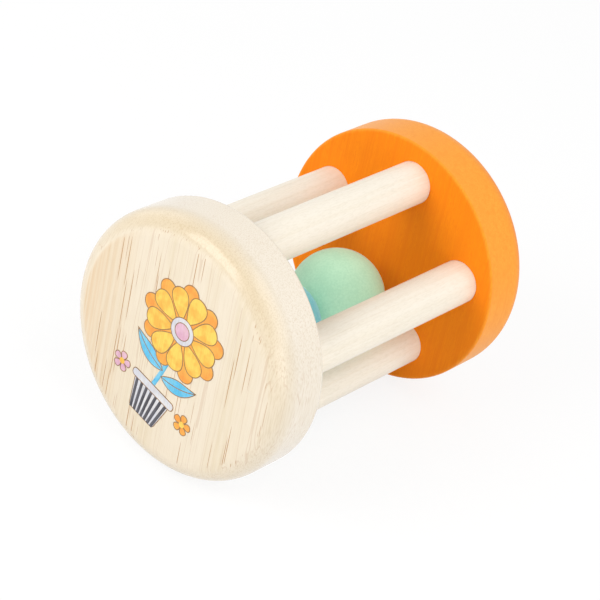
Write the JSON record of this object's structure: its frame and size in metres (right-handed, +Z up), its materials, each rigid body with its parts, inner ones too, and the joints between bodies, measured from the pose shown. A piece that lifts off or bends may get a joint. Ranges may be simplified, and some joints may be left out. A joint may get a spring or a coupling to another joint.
{
  "type": "wooden rolling rattle",
  "caption": "Wooden rolling rattle: round end discs joined by round bars into an open cage, with loose wooden balls inside that roll and click.",
  "frame": {"origin": "middle of the toy, on the axis that it rolls about", "axes": "+X along the cage from the natural disc to the orange disc, +Z up as the toy lies on its side, with one bar on top and two level bars at the bottom"},
  "size_m": [0.085, 0.06, 0.06],
  "materials": {
    "natural_wood": "rubberwood, turned and sanded, thin clear matt varnish",
    "bar_wood": "pale hardwood dowel, sanded, unstained",
    "orange_stain": "orange water-based stain, satin, faint grain showing through",
    "mint_paint": "matt mint green paint on wood",
    "blue_paint": "matt sky blue paint on wood",
    "print_yellow": "thin yellow printing ink on the natural disc's face, for the printed picture, which has no solid of its own",
    "print_orange": "thin orange printing ink on the natural disc's face",
    "print_blue": "thin sky blue printing ink on the natural disc's face",
    "print_grey": "thin pale grey printing ink on the natural disc's face",
    "print_pink": "thin pale pink printing ink on the natural disc's face",
    "print_charcoal": "thin charcoal printing ink on the natural disc's face"
  },
  "bodies": {
    "cage": {"natural_disc": "natural_wood", "orange_disc": "orange_stain", "bar_1": "bar_wood", "bar_2": "bar_wood", "bar_3": "bar_wood", "bar_4": "bar_wood", "bar_5": "bar_wood"},
    "mint_ball": {"mint_ball": "mint_paint"},
    "blue_ball": {"blue_ball": "blue_paint"}
  },
  "joints": [
    {"name": "mint_ball_travel", "type": "slide", "parent": "cage", "child": "mint_ball", "axis": [1, 0, 0], "range_m": [0, 0.0039]},
    {"name": "blue_ball_travel", "type": "slide", "parent": "cage", "child": "blue_ball", "axis": [1, 0, 0], "range_m": [-0.0088, 0]}
  ]
}
